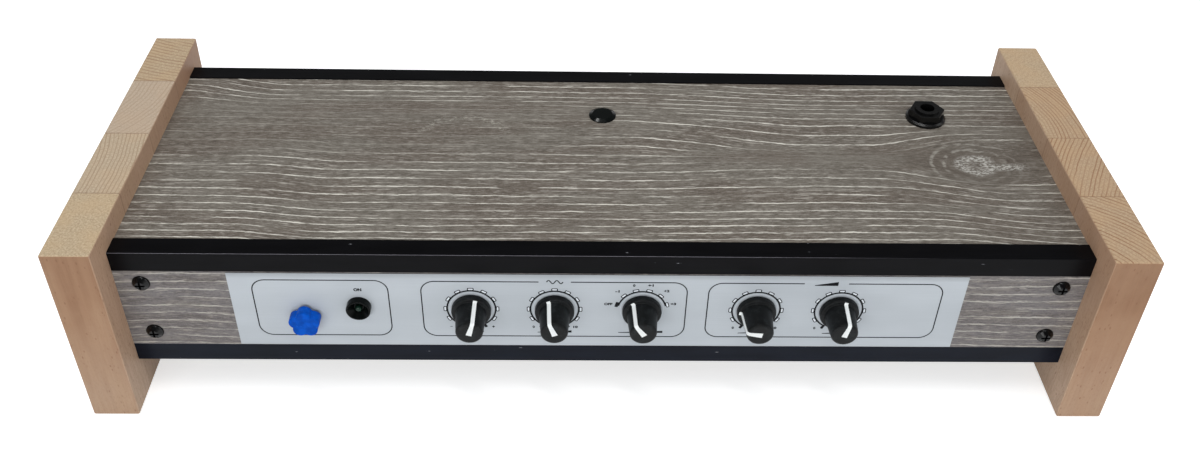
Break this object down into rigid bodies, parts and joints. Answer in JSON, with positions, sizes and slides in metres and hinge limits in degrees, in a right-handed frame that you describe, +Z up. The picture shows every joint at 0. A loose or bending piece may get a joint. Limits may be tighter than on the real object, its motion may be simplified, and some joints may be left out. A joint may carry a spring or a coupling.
{
  "type": "table-top theremin",
  "caption": "Table-top theremin: a low grey laminate case between two beech cheeks, with black pointer knobs on scales, a small blue star knob, a lamp and a socket for the pitch antenna.",
  "frame": {"origin": "on the table, under the middle of the whole instrument", "axes": "+X to the player's right along the case, +Y away from the player, +Z up"},
  "size_m": [0.427, 0.1636, 0.087],
  "materials": {
    "beech": "oiled beech, satin",
    "grey_laminate": "limed grey oak laminate, matt",
    "black_profile": "satin black",
    "label_film": "satin silver-blue film",
    "pine": "planed, raw",
    "black_screw": "blackened steel",
    "zinc_steel": "zinc plated",
    "shaft_steel": "turned steel",
    "black_knob": "satin black with a white pointer",
    "blue_knob": "satin blue",
    "black_bezel": "gloss black",
    "green_lens": "dark green lens, unlit",
    "black_socket": "gloss black",
    "inlet_metal": "nickel plated",
    "circuit_board": "green solder mask",
    "nylon": "natural nylon",
    "coil_can": "drawn can",
    "copper_winding": "enamelled copper winding",
    "chip_black": "moulded epoxy",
    "capacitor_sleeve": "shrunk sleeve",
    "capacitor_film": "dipped",
    "wire_insulation": "insulated wire"
  },
  "bodies": {
    "root": {"antenna_chokes": "copper_winding", "batten_screws": "black_screw", "board_connectors": "nylon", "board_screws": "zinc_steel", "board_standoffs": "nylon", "bottom_board": "grey_laminate", "bottom_board_screws": "black_screw", "bottom_front_edge_profile": "black_profile", "bottom_rear_edge_profile": "black_profile", "circuit_board": "circuit_board", "control_nuts": "zinc_steel", "control_washers": "zinc_steel", "dc_inlet": "black_socket", "dc_inlet_nut": "inlet_metal", "distance_pot": "zinc_steel", "electrolytic_capacitors": "capacitor_sleeve", "film_capacitors": "capacitor_film", "front_board": "grey_laminate", "front_label": "label_film", "front_left_batten": "pine", "front_right_batten": "pine", "integrated_circuits": "chip_black", "lamp_bezel": "black_bezel", "lamp_led": "green_lens", "left_cheek": "beech", "octave_switch": "zinc_steel", "output_socket": "black_socket", "panel_screws": "black_screw", "pitch_antenna_socket": "black_socket", "power_nut": "zinc_steel", "power_switch": "zinc_steel", "rear_board": "grey_laminate", "rear_left_batten": "pine", "rear_right_batten": "pine", "right_cheek": "beech", "sensitivity_pot": "zinc_steel", "socket_flanges": "black_socket", "socket_nuts": "black_socket", "top_board": "grey_laminate", "top_front_edge_profile": "black_profile", "top_rear_edge_profile": "black_profile", "tuned_coils": "coil_can", "tuning_pot": "zinc_steel", "voltage_regulator": "chip_black", "volume_antenna_socket": "black_socket", "volume_pot": "zinc_steel", "wiring": "wire_insulation"},
    "tuning_dial": {"tuning_shaft": "shaft_steel", "tuning_knob": "black_knob"},
    "sensitivity_dial": {"sensitivity_shaft": "shaft_steel", "sensitivity_knob": "black_knob"},
    "octave_dial": {"octave_shaft": "shaft_steel", "octave_knob": "black_knob"},
    "distance_dial": {"distance_shaft": "shaft_steel", "distance_knob": "black_knob"},
    "volume_dial": {"volume_shaft": "shaft_steel", "volume_knob": "black_knob"},
    "power_dial": {"power_shaft": "shaft_steel", "power_knob": "blue_knob"},
    "plug": {"hole_plug": "black_bezel"}
  },
  "joints": [
    {"name": "tuning_turn", "type": "hinge", "parent": "root", "child": "tuning_dial", "pos_m": [-0.0544, -0.06665, 0.0492], "axis": [0, 1, 0], "range_deg": [-166, 134]},
    {"name": "sensitivity_turn", "type": "hinge", "parent": "root", "child": "sensitivity_dial", "pos_m": [-0.0207, -0.06665, 0.0492], "axis": [0, 1, 0], "range_deg": [-129, 171]},
    {"name": "octave_turn", "type": "hinge", "parent": "root", "child": "octave_dial", "pos_m": [0.01475, -0.06665, 0.0492], "axis": [0, 1, 0], "range_deg": [-30, 120]},
    {"name": "distance_turn", "type": "hinge", "parent": "root", "child": "distance_dial", "pos_m": [0.0615, -0.06665, 0.0492], "axis": [0, 1, 0], "range_deg": [-68, 232]},
    {"name": "volume_turn", "type": "hinge", "parent": "root", "child": "volume_dial", "pos_m": [0.0954, -0.06665, 0.0492], "axis": [0, 1, 0], "range_deg": [-165, 135]},
    {"name": "power_turn", "type": "hinge", "parent": "root", "child": "power_dial", "pos_m": [-0.1213, -0.06665, 0.045], "axis": [0, 1, 0], "range_deg": [0, 60]},
    {"name": "plug_lift", "type": "slide", "parent": "root", "child": "plug", "axis": [0, 0, 1], "range_m": [0, 0.012]}
  ]
}
